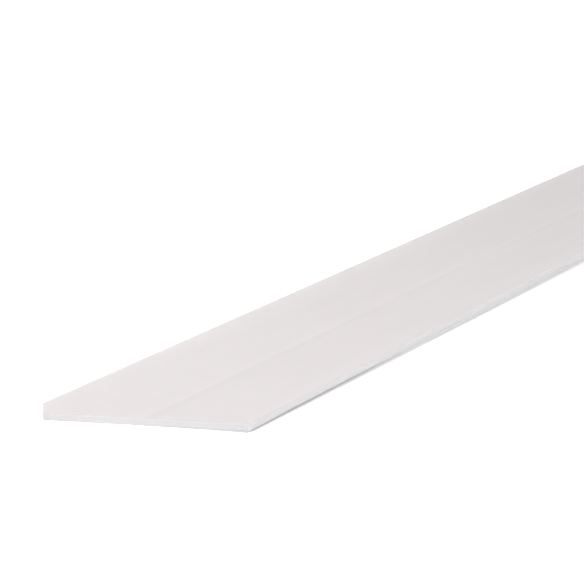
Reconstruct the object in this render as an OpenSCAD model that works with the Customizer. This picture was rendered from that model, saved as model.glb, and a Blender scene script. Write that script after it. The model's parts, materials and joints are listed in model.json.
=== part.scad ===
// Flexible angle trim strip in white plastic, as it is supplied: laid out flat.
// Two flat legs of one thickness meet at a raised crease that runs the whole length,
// the line on which the strip is folded over a corner. It is one extruded piece.
// The strip lies along X with its face up, its wide leg towards +Y and its back on Z = 0.
// The origin is on the back, in the middle of the strip's length and width.

/* [Strip] */
// Length that the strip is sold in
strip_len = 1000; // [250:50:2500]
// Width of the wide leg, from its outer edge to the crest of the crease
wide_leg = 30; // [20:1:50]
// Width of the narrow leg, from its outer edge to the crest of the crease
narrow_leg = 25; // [15:1:40]
// Thickness of both legs
wall = 1.8; // [1:0.1:3]
// Radius of the four long edges
edge_r = 0.25; // [0.1:0.05:0.45]

/* [Crease] */
// Height of the crest above the face
crease_rise = 0.12; // [0.05:0.01:0.3]
// Radius of the round crest
crest_r = 6; // [2:0.5:8]
// Reach of the long flank over the wide leg, from the crest to where it runs out
wide_flank = 4.2; // [3:0.1:10]
// Reach of the short flank over the narrow leg, from the crest to where it runs out
narrow_flank = 2.8; // [2.4:0.1:6]

/* [Blunt corner] */
// Length of the blunt corner, along the outer edge of the wide leg
blunt_along = 12.9; // [2:0.1:16]
// Width of the blunt corner, along the cut end
blunt_across = 5; // [1:0.1:9]

/* [Hidden] */
flat_w = wide_leg + narrow_leg;
crease_y = flat_w / 2 - wide_leg;
// Facets of the small edge rounds, and of the large arcs of the crease
edge_facets = 48;
crease_facets = 720;
// How far a cutter or a block runs past the shape that it meets
over = 1;

// A flank is two arcs that meet without a kink: the round crest, and a hollow arc that runs
// out into the face. Their centres lie this far apart, which is the sum of their radii.
function centre_gap(reach) = (pow(reach, 2) + pow(crease_rise, 2)) / (2 * crease_rise);
function hollow_r(reach) = centre_gap(reach) - crest_r;
// Distance from the crest to the place where the two arcs meet
function crest_reach(reach) = reach * crest_r / centre_gap(reach);

// Both legs in section, with the long edges rounded
module legs_section() {
    translate([-flat_w / 2 + edge_r, 0]) square([flat_w - 2 * edge_r, wall]);
    translate([-flat_w / 2, edge_r]) square([flat_w, wall - 2 * edge_r]);
    for (side = [-1, 1], height = [edge_r, wall - edge_r])
        translate([side * (flat_w / 2 - edge_r), height]) circle(r = edge_r, $fn = edge_facets);
}

// The round crest in section, between the places where the two flanks leave it
module crest_section() {
    intersection() {
        translate([-crest_reach(narrow_flank), wall / 2])
            square([crest_reach(narrow_flank) + crest_reach(wide_flank), wall / 2 + over]);
        translate([0, wall + crease_rise - crest_r]) circle(r = crest_r, $fn = crease_facets);
    }
}

// One hollow flank in section, from the round crest to where it runs out into the face
module flank_section(reach) {
    difference() {
        translate([crest_reach(reach), wall / 2])
            square([reach - crest_reach(reach), wall / 2 + crease_rise]);
        translate([reach, wall + hollow_r(reach)]) circle(r = hollow_r(reach), $fn = crease_facets);
    }
}

// The whole section: the legs and the crease that rises where they meet
module strip_section() {
    legs_section();
    translate([crease_y, 0]) {
        crest_section();
        flank_section(wide_flank);
        mirror([1, 0]) flank_section(narrow_flank);
    }
}

// What is gone from the outer corner of the wide leg at the cut end
module blunt_corner_cut() {
    translate([-strip_len / 2, flat_w / 2, -over])
        linear_extrude(wall + crease_rise + 2 * over)
            polygon([
                [-over, -blunt_across - over * blunt_across / blunt_along],
                [blunt_along + over * blunt_along / blunt_across, over],
                [-over, over]
            ]);
}

module angle_trim_strip() {
    color([0.90, 0.88, 0.88])
        difference() {
            rotate([90, 0, 90])
                linear_extrude(strip_len, center = true) strip_section();
            blunt_corner_cut();
        }
}

angle_trim_strip();
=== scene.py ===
"""Looks of the flexible angle trim strip: a finely modelled strip of satin white plastic that
lies face up on a white floor, in soft studio light, seen from the photograph's viewpoint.
Lengths are written in millimetres and turned into metres by MM. Distances along the strip are
measured from the cut end with the blunt corner."""

import json
import math
import random
from collections import namedtuple

import bpy
import numpy as np
from mathutils import Matrix, Vector

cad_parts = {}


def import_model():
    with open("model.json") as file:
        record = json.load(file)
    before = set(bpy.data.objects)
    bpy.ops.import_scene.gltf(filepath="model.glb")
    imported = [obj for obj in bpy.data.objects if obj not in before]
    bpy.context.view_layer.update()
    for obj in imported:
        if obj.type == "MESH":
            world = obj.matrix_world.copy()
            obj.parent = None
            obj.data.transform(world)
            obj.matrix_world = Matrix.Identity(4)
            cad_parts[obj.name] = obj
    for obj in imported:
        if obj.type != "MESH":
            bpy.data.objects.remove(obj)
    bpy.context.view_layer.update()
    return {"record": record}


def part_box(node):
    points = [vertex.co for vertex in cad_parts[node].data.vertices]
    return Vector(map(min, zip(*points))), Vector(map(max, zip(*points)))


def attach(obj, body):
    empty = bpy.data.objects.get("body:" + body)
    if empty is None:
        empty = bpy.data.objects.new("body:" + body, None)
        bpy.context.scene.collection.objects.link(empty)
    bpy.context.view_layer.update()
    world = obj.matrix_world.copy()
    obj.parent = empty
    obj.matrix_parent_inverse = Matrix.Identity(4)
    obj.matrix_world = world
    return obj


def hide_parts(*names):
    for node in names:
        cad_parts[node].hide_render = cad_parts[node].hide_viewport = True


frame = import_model()

MM = 0.001
NODE = "angle_trim_strip"
low, high = (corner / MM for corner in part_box(NODE))

# The strip's section, from its box and from the sizes that the box doesn't give
LENGTH = high.x - low.x
WIDTH = high.y - low.y
CREASE_RISE = 0.12
WALL = high.z - low.z - CREASE_RISE
NARROW_LEG = 25.0
CREASE_Y = low.y + NARROW_LEG
WIDE_FLANK = 4.2
NARROW_FLANK = 2.8
CREST_R = 6.0
EDGE_R = 0.25
BLUNT_ALONG = 12.9
BLUNT_ACROSS = 5.0

# Fineness of the mesh across the face: the usual step, and a finer one from the narrow flank to
# a little past the crest
STEP_ACROSS = 0.36
FINE_STEP = STEP_ACROSS / 3
FINE_PAST_CREST = 1.0
# Steps round a long edge and through the wall
EDGE_STEPS = 6
WALL_STEPS = 8
# Steps along the strip grow from the ends by this factor, up to the largest one
STEP_GROWTH = 1.5
STEP_ALONG = 5.0
# Faces that meet at a larger angle than this, in degrees, meet in a sharp edge
SHARP_ANGLE = 30

# Fine relief, always cut into the true surface so that nothing stands proud of it
CUT_BEVEL = 0.1
DIE_LINE_DEPTH = 0.003
WAVE_DEPTH = 0.012
SAW_DEPTH = 0.03
# The bevel's middle lies this share of it in from both faces, which makes it a little round
BEVEL_MIDDLE = 0.35
# The slow waves run aslant by this much
WAVE_SLANT = 0.6
# Saw marks: their spacing, how much they lean, how many spacings they wander, their faintest
# share of the full depth, and how much faster that share changes than they wander
SAW_PITCH = 0.9
SAW_LEAN = 0.25
SAW_WANDER = 1.5
SAW_FAINTEST = 0.4
SAW_PATCHES = 3
# How far from a cut end the mesh follows the saw marks, and the slant of the blunt corner
SAW_FADE = 2.0
BLUNT_FADE = 45.0

# Behind the cut end the near edge doesn't lie quite flat: how far its back and its face stand up
# there, how far inwards that reaches, and its share at some distances along the strip
BACK_LIFT = 0.21
FACE_LIFT = 0.09
LIFT_REACH = 11.0
LIFT_PLACES = (0, 30, 85, 125)
LIFT_SHARES = (0.2, 1, 0.85, 0)


def waves(seed, count, shortest, longest):
    """A smooth random line from 0 to 1: a sum of sines whose wavelengths lie in that range."""
    draw = random.Random(seed)
    sines = []
    for _ in range(count):
        length = math.exp(draw.uniform(math.log(shortest), math.log(longest)))
        sines.append((2 * math.pi / length, draw.uniform(0, 2 * math.pi)))

    def line(u):
        total = sum(np.sin(rate * u + phase) for rate, phase in sines)
        return np.clip(0.5 + 0.5 * total / math.sqrt(2 * count), 0, 1)

    return line


face_die_lines = waves(seed=1, count=24, shortest=0.9, longest=6)
back_die_lines = waves(seed=2, count=24, shortest=0.9, longest=6)
edge_die_lines = waves(seed=3, count=8, shortest=0.3, longest=1.2)
long_waves = waves(seed=4, count=7, shortest=40, longest=160)
cross_waves = waves(seed=5, count=5, shortest=14, longest=40)
saw_drift = waves(seed=6, count=9, shortest=2, longest=14)


def steps(start, end, size):
    """Evenly spaced places from start up to, but not including, end."""
    count = max(1, round(abs(end - start) / size))
    return [start + (end - start) * i / count for i in range(count)]


def places_across():
    """Places across the strip, from the near edge to the far one, closer on the edge rounds and
    on the crease."""
    near, far = -WIDTH / 2, WIDTH / 2
    turns = [math.radians(90 * i / EDGE_STEPS) for i in range(EDGE_STEPS)]
    rounded = [EDGE_R * (1 - math.cos(turn)) for turn in turns]
    inner = steps(near + EDGE_R, CREASE_Y - NARROW_FLANK, STEP_ACROSS)
    inner += steps(CREASE_Y - NARROW_FLANK, CREASE_Y + FINE_PAST_CREST, FINE_STEP)
    inner += steps(CREASE_Y + FINE_PAST_CREST, CREASE_Y + WIDE_FLANK, STEP_ACROSS)
    inner += steps(CREASE_Y + WIDE_FLANK, far - EDGE_R, STEP_ACROSS)
    inner += [far - EDGE_R]
    return np.array([near + r for r in rounded] + inner + [far - r for r in reversed(rounded)])


def stations_along():
    """Places along the strip as distances from one end, each with how far its section is shrunk
    by the small bevel that the saw leaves."""
    middle = BEVEL_MIDDLE * CUT_BEVEL
    half = [(0, CUT_BEVEL), (middle, middle), (CUT_BEVEL, 0)]
    step = 2 * CUT_BEVEL
    while half[-1][0] + step < LENGTH / 2:
        half.append((half[-1][0] + step, 0))
        step = min(step * STEP_GROWTH, STEP_ALONG)
    return half + [(LENGTH - x, shrink) for x, shrink in reversed(half)]


def edge_round(y):
    """How far the face and the back stand in from the wall's full thickness at a long edge."""
    inward = np.clip(WIDTH / 2 - np.abs(y), 0, EDGE_R)
    return EDGE_R - np.sqrt(EDGE_R**2 - (EDGE_R - inward) ** 2)


def crease_height(y):
    """Height of the crease above the face: a round crest between two hollow arcs that leave the
    crest and the face without a kink."""
    beside = np.abs(y - CREASE_Y)
    reach = np.where(y > CREASE_Y, WIDE_FLANK, NARROW_FLANK)
    both_radii = (reach**2 + CREASE_RISE**2) / (2 * CREASE_RISE)
    hollow_r = both_radii - CREST_R
    hollow = hollow_r - np.sqrt(hollow_r**2 - np.clip(reach - beside, 0, None) ** 2)
    crest = CREASE_RISE - CREST_R + np.sqrt(CREST_R**2 - np.clip(beside, 0, CREST_R) ** 2)
    return np.where(beside < reach * CREST_R / both_radii, crest, hollow)


def near_lift(x, y):
    """Share of the near edge's lift, which fades to 0 inwards and along the strip."""
    inwards = np.clip(1 - (y - low.y) / LIFT_REACH, 0, 1) ** 2
    return inwards * np.interp(x, LIFT_PLACES, LIFT_SHARES)


def face_z(x, y):
    """Height of the face, with the die lines and the slow waves of an extruded strip."""
    relief = DIE_LINE_DEPTH * face_die_lines(y)
    relief = relief + WAVE_DEPTH * long_waves(x + WAVE_SLANT * y) * cross_waves(y)
    return WALL + crease_height(y) + FACE_LIFT * near_lift(x, y) - edge_round(y) - relief


def back_z(x, y):
    """Height of the back, with its own die lines."""
    return BACK_LIFT * near_lift(x, y) + edge_round(y) + DIE_LINE_DEPTH * back_die_lines(y)


def cut_depth(y, z):
    """How deep the saw's marks go into a cut end: ridges that lean a little and wander."""
    phase = (y + SAW_LEAN * z) / SAW_PITCH + SAW_WANDER * saw_drift(y)
    ridge = 0.5 + 0.5 * np.sin(2 * math.pi * phase)
    return SAW_DEPTH * ridge * (SAW_FAINTEST + (1 - SAW_FAINTEST) * saw_drift(SAW_PATCHES * y))


def end_shift(x, y, z):
    """How far the points near an end move along the strip for the saw marks and the blunt corner.
    The far end has marks of its own, which are those of a strip one width further over."""
    slant = np.clip(y - (WIDTH / 2 - BLUNT_ACROSS), 0, None) * BLUNT_ALONG / BLUNT_ACROSS
    shift = slant * np.clip(1 - x / BLUNT_FADE, 0, 1)
    shift = shift + cut_depth(y, z) * np.clip(1 - x / SAW_FADE, 0, 1)
    return shift - cut_depth(y + WIDTH, z) * np.clip(1 - (LENGTH - x) / SAW_FADE, 0, 1)


def points(x, shrink, y, share):
    """Points of the station at x, at places y across it and at shares of the wall, from 0 on the
    back to 1 on the face. shrink is what the bevel takes off the section all round."""
    bottom, top = back_z(x, y), face_z(x, y)
    z = bottom + (top - bottom) * share
    on_edge = np.isclose(np.abs(y), WIDTH / 2)
    inset = np.where(on_edge, DIE_LINE_DEPTH * edge_die_lines(z), 0)
    middle = WALL / 2
    z = middle + (z - middle) * (1 - shrink / middle)
    y = np.sign(y) * (np.abs(y) - inset) * (1 - shrink / (WIDTH / 2))
    return np.stack([low.x + x + end_shift(x, y, z), y, z], axis=1)


def ring_places(last):
    """Places round the section, as numbers across it and up the wall: along the back, up the far
    side, back along the face and down the near side. last is the last number across."""
    places = [(j, 0) for j in range(last)]
    places += [(last, k) for k in range(WALL_STEPS)]
    places += [(j, WALL_STEPS) for j in range(last, 0, -1)]
    places += [(0, k) for k in range(WALL_STEPS, 0, -1)]
    return places


def skin_faces(station_count, ring_size):
    """The faces between each ring of points and the next one."""
    faces = []
    for station in range(station_count - 1):
        start = station * ring_size
        for a in range(ring_size):
            b = (a + 1) % ring_size
            faces.append((start + a, start + b, start + b + ring_size, start + a + ring_size))
    return faces


def end_faces(number, last, is_far):
    """The grid of faces on a cut end. number gives each place's point."""
    faces = []
    for j in range(last):
        for k in range(WALL_STEPS):
            corners = [(j, k), (j + 1, k), (j + 1, k + 1), (j, k + 1)]
            quad = [number[place] for place in corners]
            faces.append(quad if is_far else quad[::-1])
    return faces


def strip_mesh():
    """The closed mesh of the strip: rings of points joined along it, and a fine grid on each end.
    Its faces are in material slot 0 where it is extruded, and in slot 1 where it is sawn."""
    across = places_across()
    last = len(across) - 1
    ring = ring_places(last)
    inside = [(j, k) for j in range(1, last) for k in range(1, WALL_STEPS)]
    stations = stations_along()

    def station_points(station, places):
        share = np.array([k / WALL_STEPS for _, k in places])
        return points(*stations[station], across[[j for j, _ in places]], share)

    blocks = [station_points(station, ring) for station in range(len(stations))]
    skin = skin_faces(len(stations), len(ring))
    ends = []
    point_count = len(stations) * len(ring)
    for station, is_far in ((0, False), (len(stations) - 1, True)):
        number = {place: station * len(ring) + n for n, place in enumerate(ring)}
        number.update({place: point_count + n for n, place in enumerate(inside)})
        point_count += len(inside)
        blocks.append(station_points(station, inside))
        ends += end_faces(number, last, is_far)

    mesh = bpy.data.meshes.new("trim_strip")
    mesh.from_pydata((np.concatenate(blocks) * MM).tolist(), [], skin + ends)
    mesh.polygons.foreach_set("material_index", [0] * len(skin) + [1] * len(ends))
    mesh.polygons.foreach_set("use_smooth", [True] * len(mesh.polygons))
    mesh.update()
    mesh.set_sharp_from_angle(angle=math.radians(SHARP_ANGLE))
    mesh.validate()
    return mesh


def link(obj):
    """Puts an object into the scene, and hands it back."""
    bpy.context.scene.collection.objects.link(obj)
    return obj


# Most of a noise's values lie in this range
NOISE_RANGE = (0.3, 0.7)
NOISE_ROUGHNESS = 0.55


class Nodes:
    """A material's or the world's node tree, with short calls to add and join nodes."""

    def __init__(self, owner):
        owner.use_nodes = True
        self.tree = owner.node_tree
        self.tree.nodes.clear()

    def add(self, kind, inputs=None, **settings):
        """A new node. Its inputs are joined to sockets, or set to values."""
        node = self.tree.nodes.new(kind)
        for name, value in settings.items():
            setattr(node, name, value)
        for name, value in (inputs or {}).items():
            if isinstance(value, bpy.types.NodeSocket):
                self.tree.links.new(value, node.inputs[name])
            else:
                node.inputs[name].default_value = value
        return node

    def math(self, operation, a, b):
        """The result of a math node."""
        return self.add("ShaderNodeMath", {0: a, 1: b}, operation=operation).outputs[0]

    def total(self, first, *others):
        """The sum of two or more values."""
        for value in others:
            first = self.math("ADD", first, value)
        return first

    def product(self, first, *others):
        """Two or more values multiplied."""
        for value in others:
            first = self.math("MULTIPLY", first, value)
        return first

    def place(self):
        """The point's place on its object, in metres, and its x, y and z in millimetres."""
        place = self.add("ShaderNodeTexCoord").outputs["Object"]
        parts = self.add("ShaderNodeSeparateXYZ", {0: place}).outputs
        return place, *(self.math("DIVIDE", parts[axis], MM) for axis in "XYZ")

    def noise(self, place, scale, detail, stretch=(1, 1, 1), turn=(0, 0, 0)):
        """A noise from 0 to 1 with scale features a metre, drawn out along axes by 1 / stretch."""
        turned = {"Vector": place, "Scale": stretch, "Rotation": turn}
        mapped = self.add("ShaderNodeMapping", turned).outputs["Vector"]
        inputs = {"Vector": mapped, "Scale": scale, "Detail": detail, "Roughness": NOISE_ROUGHNESS}
        return self.add("ShaderNodeTexNoise", inputs).outputs["Fac"]

    def between(self, value, from_low, from_high, to_low, to_high):
        """value taken from one range to another, and held at the ends."""
        inputs = {0: value, 1: from_low, 2: from_high, 3: to_low, 4: to_high}
        return self.add("ShaderNodeMapRange", inputs).outputs[0]

    def swing(self, noise, amount):
        """A noise turned into a change of up to that amount, up or down."""
        return self.between(noise, *NOISE_RANGE, -amount, amount)

    def rise_and_fall(self, value, rises, falls):
        """A share that goes from 0 to 1 over the first range of value, and back over the other."""
        risen = self.between(value, *rises, 0, 1)
        return self.math("MINIMUM", risen, self.between(value, *falls, 1, 0))

    def times(self, colour, factor):
        """A colour made lighter or darker by a factor."""
        node = self.add("ShaderNodeVectorMath", {0: colour, 1: factor}, operation="MULTIPLY")
        return node.outputs[0]

    def bump(self, height, depth, normal=None):
        """A normal bent by a height from 0 to 1 that stands for that depth."""
        inputs = {"Height": height, "Distance": depth * MM, "Strength": 1.0}
        if normal is not None:
            inputs["Normal"] = normal
        return self.add("ShaderNodeBump", inputs).outputs["Normal"]

    def output(self, surface):
        """Makes a shader the material's surface."""
        self.add("ShaderNodeOutputMaterial", {"Surface": surface})


BASE_COLOUR = tuple(frame["record"]["materials"][0]["base_color"])
SAWN_COLOUR = (0.84, 0.827, 0.838)
PLASTIC_IOR = 1.53
# The satin face gets rougher where it is scuffed, which is over this range of a noise
SATIN_ROUGHNESS = (0.40, 0.50)
SCUFF_RANGE = (0.35, 0.75)
SAWN_ROUGHNESS = (0.58, 0.72)
# How far light scatters inside the white plastic, which softens its edges
SCATTERING = {
    "Subsurface Weight": 0.6,
    "Subsurface Radius": (1.0, 0.9, 0.85),
    "Subsurface Scale": 0.65 * MM,
}
# Painted highlight on the wide side of the crest, whose flank leans towards the key light.
# These are the distances from the crest over which it rises and falls.
CREASE_PAINTED_HIGHLIGHT = 0.012
CREASE_RISES = (0.2, 1.2)
CREASE_FALLS = (1.2, 5.0)
# Painted light on the narrow flank, which leans away from the key light: it grows over a
# stretch along the strip, past which the crease shows less
FLANK_PAINTED_LIGHT = 0.011
FLANK_RISES = (-2.2, -1.0)
FLANK_FALLS = (-0.7, 0.2)
FLANK_STRETCH = (130, 200)
# Painted light on the face towards each long edge: how much lighter it gets, how far inwards
# that reaches, the power by which it fades, and how much lighter the rim next to the edge round
# is painted, which fills a dip in its shading
Edge = namedtuple("Edge", "whitening reach power rim")
NARROW_EDGE = Edge(whitening=0.022, reach=16.0, power=1.5, rim=0.03)
WIDE_EDGE = Edge(whitening=0.085, reach=14.0, power=2.0, rim=0.08)
RIM_REACH = 1.3
# How far along the strip the painted light of the wide edge is full, and its share at the cut end
WIDE_EDGE_GROWS = 130.0
WIDE_EDGE_START = 0.1
# Painted light on the rounds of the long edges, which fills their shade where they turn from the
# key light to the low fills, and how far in from the side they begin
ROUND_PAINTED_LIGHT = 0.1
SIDE_DEPTH = 0.02
# Painted light and shade on the long sides, which evens out their shading: the change of tone up
# them, from this share of the wall to the face, and how much lighter they are painted over a
# stretch along the strip
SIDE_FROM = 0.2
SIDE_TONE = (0.075, -0.065)
SIDE_FURTHER = 0.045
SIDE_STRETCH = (110, 190)
# Painted shade on the upper bevel of a cut, which damps the highlight that the lights put there:
# how much darker it is, how far along the strip that reaches, and the shares of the wall between
# which it begins
BEVEL_TONE = -0.18
BEVEL_REACH = 0.25
BEVEL_FROM = (0.4, 0.8)
# Painted light and shade on a cut end: the change of tone up it, at the back and at the face,
# which lightens it at its foot, and how much darker it is painted towards the wide edge, from
# this share of the way out
END_TONE = (0.03, 0)
WIDE_END_TONE = -0.06
WIDE_END_FROM = 0.25


def crease_tone(n, y, along):
    """Painted light on the crease: a painted highlight on the wide side of its crest, and painted
    light on its narrow flank.
    """
    past_crest = n.math("SUBTRACT", y, CREASE_Y)
    highlit_side = n.rise_and_fall(past_crest, CREASE_RISES, CREASE_FALLS)
    flank = n.rise_and_fall(past_crest, FLANK_RISES, FLANK_FALLS)
    further = n.between(along, *FLANK_STRETCH, 0, FLANK_PAINTED_LIGHT)
    return n.total(n.product(highlit_side, CREASE_PAINTED_HIGHLIGHT), n.product(flank, further))


def edge_tone(n, edge, from_edge, up_side, grown):
    """Painted light and shade at a long edge: on its face, its rim, its round and its side."""
    on_face = n.between(from_edge, SIDE_DEPTH, EDGE_R, 0, 1)
    on_side = n.math("SUBTRACT", 1, on_face)
    # The product of the two shares is 1 / 4 in the middle of the round, where this is to be 1
    on_round = n.product(on_face, on_side, 4)
    on_rim = n.math("MINIMUM", on_face, n.between(from_edge, EDGE_R, RIM_REACH, 1, 0))
    faded = n.math("POWER", n.between(from_edge, 0, edge.reach, 1, 0), edge.power)
    return n.total(
        n.product(faded, grown, on_face, edge.whitening),
        n.product(on_side, up_side),
        n.product(on_round, ROUND_PAINTED_LIGHT),
        n.product(on_rim, edge.rim),
    )


def bevel_tone(n, along, z):
    """Painted shade on the upper bevel of each cut end."""
    from_cut = n.math("MINIMUM", along, n.math("SUBTRACT", LENGTH, along))
    bevel = n.between(from_cut, 0, BEVEL_REACH, BEVEL_TONE, 0)
    low_z, high_z = (share * WALL for share in BEVEL_FROM)
    return n.product(bevel, n.between(z, low_z, high_z, 0, 1))


def extruded_plastic():
    """Satin white plastic as the die leaves it: faint streaks along the strip, a soft mottle and
    a fine grain. Its colour also holds painted light and shade: a painted highlight on the wide
    side of the crease's crest, painted light on its narrow flank, towards the long edges and on
    their rims and rounds, painted light and shade up the long sides, and painted shade on the
    upper bevels of the cut ends."""
    material = bpy.data.materials.new("white_pvc_extruded")
    n = Nodes(material)
    place, x, y, z = n.place()
    along = n.math("SUBTRACT", x, low.x)
    mottle = n.noise(place, scale=38, detail=3)
    streaks = n.noise(place, scale=420, detail=2, stretch=(0.006, 1, 1))
    scuffs = n.noise(place, scale=300, detail=4, stretch=(0.05, 1, 1), turn=(0, 0, 0.12))
    grain = n.noise(place, scale=5200, detail=1)

    up_side = n.total(
        n.between(z, SIDE_FROM * WALL, WALL, *SIDE_TONE),
        n.between(along, *SIDE_STRETCH, 0, SIDE_FURTHER),
    )
    grown = n.between(along, 0, WIDE_EDGE_GROWS, WIDE_EDGE_START, 1)
    from_narrow = n.math("SUBTRACT", y, low.y)
    from_wide = n.math("SUBTRACT", high.y, y)
    tone = n.total(
        1.0,
        n.swing(mottle, 0.006),
        n.swing(streaks, 0.004),
        crease_tone(n, y, along),
        bevel_tone(n, along, z),
        edge_tone(n, NARROW_EDGE, from_narrow, up_side, 1),
        edge_tone(n, WIDE_EDGE, from_wide, up_side, grown),
    )
    roughness = n.total(n.between(scuffs, *SCUFF_RANGE, *SATIN_ROUGHNESS), n.swing(streaks, 0.02))
    streaked = n.bump(streaks, depth=0.004)
    shader = n.add("ShaderNodeBsdfPrincipled", {
        "Base Color": n.times(BASE_COLOUR, tone),
        "Roughness": roughness,
        "IOR": PLASTIC_IOR,
        "Normal": n.bump(grain, depth=0.0015, normal=streaked),
        **SCATTERING,
    })
    n.output(shader.outputs["BSDF"])
    return material


def sawn_plastic():
    """The same plastic where it was cut: matt, a little whiter, with upright saw marks, and with
    painted light at the foot of the end and painted shade towards the wide edge.
    """
    material = bpy.data.materials.new("white_pvc_sawn")
    n = Nodes(material)
    place, _, y, z = n.place()
    marks = n.noise(place, scale=1700, detail=3, stretch=(0.2, 1, 0.12), turn=(0.2, 0, 0))
    crumbs = n.noise(place, scale=3500, detail=2)
    tone = n.total(
        1.0,
        n.swing(marks, 0.012),
        n.swing(crumbs, 0.008),
        n.between(z, 0, WALL, *END_TONE),
        n.between(y, WIDE_END_FROM * high.y, high.y, 0, WIDE_END_TONE),
    )
    marked = n.bump(marks, depth=0.02)
    shader = n.add("ShaderNodeBsdfPrincipled", {
        "Base Color": n.times(SAWN_COLOUR, tone),
        "Roughness": n.between(marks, *NOISE_RANGE, *SAWN_ROUGHNESS),
        "IOR": PLASTIC_IOR,
        "Normal": n.bump(crumbs, depth=0.008, normal=marked),
        **SCATTERING,
    })
    n.output(shader.outputs["BSDF"])
    return material


def trim_strip():
    """The strip itself, in place of the plain CAD solid."""
    strip = link(bpy.data.objects.new("trim_strip", strip_mesh()))
    strip.data.materials.append(extruded_plastic())
    strip.data.materials.append(sawn_plastic())
    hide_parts(NODE)
    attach(strip, "root")


def seen_directly(n):
    """1 for rays from the camera, or by way of gloss or glass, and 0 for rays that light things."""
    path = n.add("ShaderNodeLightPath").outputs
    seen = n.math("MAXIMUM", path["Is Camera Ray"], path["Is Glossy Ray"])
    return n.math("MAXIMUM", seen, path["Is Transmission Ray"])


FLOOR_HALF = 8.0
FLOOR_ALBEDO = 0.93
# The floor keeps its own lit tone, which is dimmer than white and holds the strip's shadow, only
# in a band beside the near edge, so the band's drawn outline is a painted shadow. The band widens
# along the strip by a power, from the first width at the cut end to the second, BAND_GROWS
# further on.
BAND_AT_END = 0.75
BAND_WIDEST = 5.4
BAND_GROWS = 320.0
BAND_POWER = 1.38
# Width over which the band turns white at its rim, and how many times as wide that is on the
# band's side from SOFTER_BY on
BAND_SOFTNESS = 1.0
SIDE_SOFTER = 2.5
SOFTER_BY = 100.0
# The band goes on as a wedge in front of the cut end, which opens towards the near corner
WEDGE_FROM = 7.0
WEDGE_WIDEST = 2.3
# Painted shadow in that wedge: how much darker the floor's colour is made at the near corner,
# where across the strip that begins, and the distance to each side of the cut end over which it
# stops
CORNER_SHADE = 0.4
CORNER_SHADE_FROM = -12.0
CORNER_SHADE_STOPS = 0.2
# Painted light in the band: the floor's glow inside it at the cut end, which lifts the shadow
# there, and what is added to it over three stretches along the strip, each with its start, its
# end and its amount
GLOW_AT_END = 0.12
GLOW_STEPS = ((0, 90, 0.03), (86, 136, 0.135), (190, 290, -0.025))


def outside_shadow(n, x, y, along):
    """How far a point of the floor lies outside the strip's outline and the band beside it."""
    grown = n.math("POWER", n.between(along, 0, BAND_GROWS, 0, 1), BAND_POWER)
    band = n.between(grown, 0, 1, BAND_AT_END, BAND_WIDEST)
    beside = n.math("SUBTRACT", n.math("SUBTRACT", low.y, y), band)
    beside = n.math("DIVIDE", beside, n.between(along, 0, SOFTER_BY, 1, SIDE_SOFTER))
    wedge_range = (-BAND_SOFTNESS / 2, WEDGE_WIDEST)
    opening = n.between(y, WEDGE_FROM, low.y, *wedge_range)
    closing = n.between(y, low.y - BAND_AT_END, low.y, *wedge_range)
    before = n.math("SUBTRACT", n.product(along, -1), n.math("MINIMUM", opening, closing))
    behind = n.math("SUBTRACT", y, high.y)
    beyond = n.math("SUBTRACT", x, high.x)
    slant = n.product(along, BLUNT_ACROSS / BLUNT_ALONG)
    past_blunt = n.math("SUBTRACT", n.math("SUBTRACT", y, high.y - BLUNT_ACROSS), slant)
    outside = beside
    for past_side in (before, behind, beyond, past_blunt):
        outside = n.math("MAXIMUM", outside, past_side)
    return outside


def corner_shade(n, y, along, bare):
    """Painted shadow: how much darker the floor looks in the wedge in front of the cut end. It
    darkens only what is seen, not the light that the floor throws back.
    """
    shade = n.between(y, CORNER_SHADE_FROM, low.y, 0, CORNER_SHADE)
    in_front = n.between(along, -CORNER_SHADE_STOPS, CORNER_SHADE_STOPS, 1, 0)
    return n.product(shade, in_front, n.math("SUBTRACT", 1, bare), seen_directly(n))


def white_floor():
    """Floor that is white where it is seen outside the strip and the band beside it."""
    material = bpy.data.materials.new("floor_white")
    n = Nodes(material)
    _, x, y, _ = n.place()
    along = n.math("SUBTRACT", x, low.x)
    outside = outside_shadow(n, x, y, along)
    bare = n.between(outside, -BAND_SOFTNESS / 2, BAND_SOFTNESS / 2, 0, 1)
    glow = n.total(bare, GLOW_AT_END)
    for start, end, amount in GLOW_STEPS:
        glow = n.total(glow, n.between(along, start, end, 0, amount))
    # The floor's colour, darkened by the painted shadow in the wedge
    lit = n.math("SUBTRACT", 1, corner_shade(n, y, along, bare))
    diffuse = n.add("ShaderNodeBsdfDiffuse", {"Color": n.product(lit, FLOOR_ALBEDO)})
    light = n.add("ShaderNodeEmission", {"Strength": n.product(glow, seen_directly(n))})
    both = n.add("ShaderNodeAddShader", {0: diffuse.outputs[0], 1: light.outputs[0]})
    n.output(both.outputs[0])
    return material


def floor():
    """A white floor. It is white where it is seen, but for the narrow shadow, partly real and
    partly painted, that runs along the strip's near edge and round its near corner."""
    mesh = bpy.data.meshes.new("floor")
    h = FLOOR_HALF
    mesh.from_pydata([(-h, -h, 0), (h, -h, 0), (h, h, 0), (-h, h, 0)], [], [(0, 1, 2, 3)])
    mesh.materials.append(white_floor())
    link(bpy.data.objects.new("floor", mesh))


AMBIENT = 0.21


def world():
    """An even white world that is brighter where it is seen than where it lights."""
    scene_world = bpy.data.worlds.new("studio")
    bpy.context.scene.world = scene_world
    n = Nodes(scene_world)
    strength = n.between(seen_directly(n), 0, 1, AMBIENT, 1)
    back = n.add("ShaderNodeBackground", {"Color": (1, 1, 1, 1), "Strength": strength})
    n.add("ShaderNodeOutputWorld", {"Surface": back.outputs[0]})


KEY_COLOUR = (1.0, 0.948, 0.952)
END_FILL_COLOUR = (0.834, 1.0, 1.0)
SIDE_FILL_COLOUR = (1.0, 0.885, 0.96)


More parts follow.
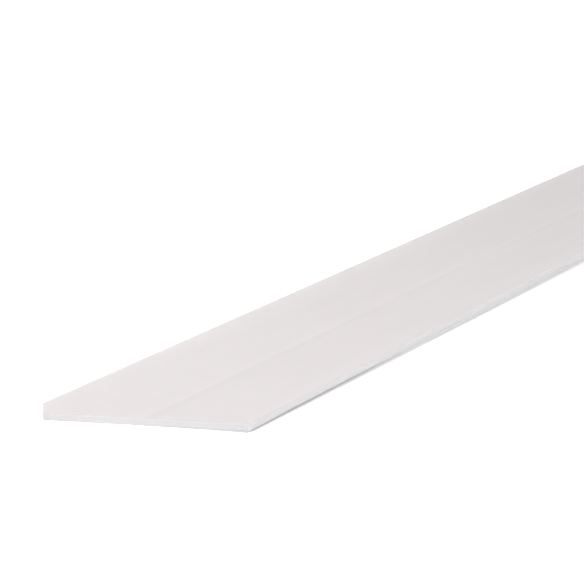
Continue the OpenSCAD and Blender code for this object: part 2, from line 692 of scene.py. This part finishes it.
def soft_light(name, place, aim, size, watts, colour, mirrored):
    """A square soft light at a place, turned to the point that it is aimed at. Where it isn't
    mirrored, glossy surfaces don't show it."""
    data = bpy.data.lights.new(name, "AREA")
    data.size = size * MM
    data.energy = watts
    data.color = colour
    light = link(bpy.data.objects.new(name, data))
    light.location = place * MM
    light.rotation_euler = (aim - place).to_track_quat("-Z", "Y").to_euler()
    light.visible_glossy = mirrored


def lights():
    """A key from the far left of the near end, whose shadow falls to the near side, low fills
    for the cut end and for the near edge, and a weak light over the far end. Mirrored in the
    satin face, the low lights would turn it white when it is seen from behind."""
    near_end = Vector((low.x, 0, 0))
    far_end = Vector((high.x, 0, 0))
    start = near_end + Vector((100, 0, 0))
    further = near_end + Vector((300, 0, 0))
    soft_light("key", near_end + Vector((-340, 884, 765)), start,
               size=357, watts=15.25, colour=KEY_COLOUR, mirrored=True)
    soft_light("end_fill", near_end + Vector((-700, -1500, 330)), start,
               size=900, watts=8.9, colour=END_FILL_COLOUR, mirrored=False)
    soft_light("side_fill", near_end + Vector((700, -1500, 150)), further,
               size=500, watts=8.7, colour=SIDE_FILL_COLOUR, mirrored=False)
    soft_light("far_light", far_end + Vector((0, 270, 260)), far_end,
               size=300, watts=0.34, colour=KEY_COLOUR, mirrored=False)


CAMERA_AT = (-1473.17, -345.4, 176.14)
CAMERA_YAW = 17.568
CAMERA_PITCH = 8.028
LENS = 284.04
SENSOR_WIDTH = 36


def camera():
    """The photograph's viewpoint: a long lens close to the floor, in line with the strip."""
    data = bpy.data.cameras.new("camera")
    data.lens = LENS
    data.sensor_width = SENSOR_WIDTH
    data.clip_start = 0.05
    data.clip_end = 50
    cam = link(bpy.data.objects.new("camera", data))
    turn = Matrix.Rotation(math.radians(CAMERA_YAW - 90), 4, "Z")
    tilt = Matrix.Rotation(math.radians(90 - CAMERA_PITCH), 4, "X")
    cam.matrix_world = Matrix.Translation(Vector(CAMERA_AT) * MM) @ turn @ tilt
    bpy.context.scene.camera = cam


camera()
trim_strip()
floor()
world()
lights()
bpy.context.scene.view_settings.view_transform = "Standard"
